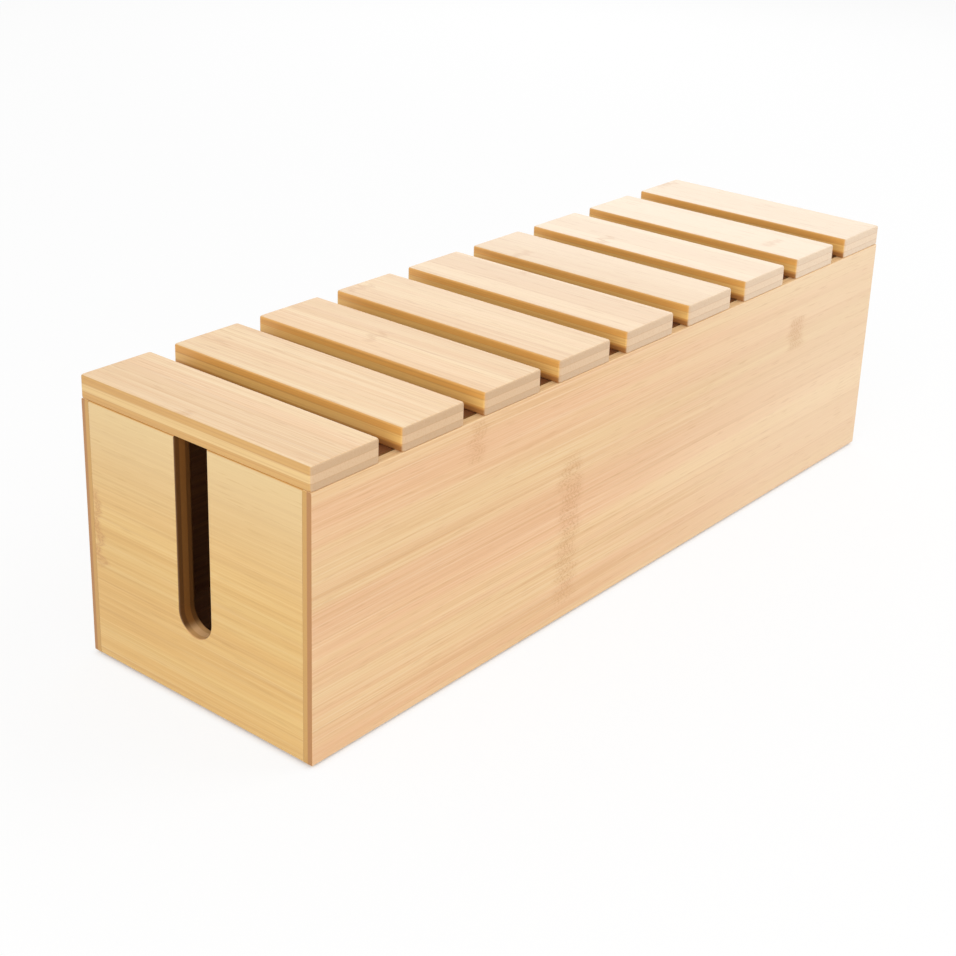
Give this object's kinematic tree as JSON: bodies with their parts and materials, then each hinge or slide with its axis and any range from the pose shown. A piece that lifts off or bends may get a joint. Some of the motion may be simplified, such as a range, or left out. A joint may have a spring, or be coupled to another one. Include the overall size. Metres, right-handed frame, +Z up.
{
  "type": "cable management box",
  "caption": "Bamboo box that hides a power strip and its leads, with a U-shaped cable slot in each end and a slatted lid that drops between the walls on rails and lifts straight off",
  "frame": {"origin": "middle of the footprint on the desk, at the feet's undersides", "axes": "+X along the box towards its right end, -Y out of the long front panel, +Z up, the way the lid lifts"},
  "size_m": [0.43, 0.13, 0.1273],
  "materials": {
    "bamboo_long_panel": "sanded and clear satin lacquered bamboo ply, grain along the box",
    "bamboo_end_panel": "sanded and clear satin lacquered bamboo ply, grain across the end",
    "bamboo_base": "sanded bamboo ply",
    "bamboo_slat": "sanded and clear satin lacquered three-ply bamboo, grain along each slat",
    "bamboo_rail": "planed bamboo batten",
    "rubber_foot": "soft matte black rubber",
    "screw_steel": "zinc plated steel"
  },
  "bodies": {
    "box": {"front_panel": "bamboo_long_panel", "rear_panel": "bamboo_long_panel", "left_end_panel": "bamboo_end_panel", "right_end_panel": "bamboo_end_panel", "base_panel": "bamboo_base", "foot_front_left": "rubber_foot", "foot_front_right": "rubber_foot", "foot_rear_left": "rubber_foot", "foot_rear_right": "rubber_foot"},
    "lid": {"lid_slat_1": "bamboo_slat", "lid_slat_2": "bamboo_slat", "lid_slat_3": "bamboo_slat", "lid_slat_4": "bamboo_slat", "lid_slat_5": "bamboo_slat", "lid_slat_6": "bamboo_slat", "lid_slat_7": "bamboo_slat", "lid_slat_8": "bamboo_slat", "lid_slat_9": "bamboo_slat", "front_lid_rail": "bamboo_rail", "rear_lid_rail": "bamboo_rail", "front_rail_screws": "screw_steel", "rear_rail_screws": "screw_steel"}
  },
  "joints": [
    {"name": "lid_lift", "type": "slide", "parent": "box", "child": "lid", "axis": [0, 0, 1], "range_m": [0, 0.15]}
  ]
}
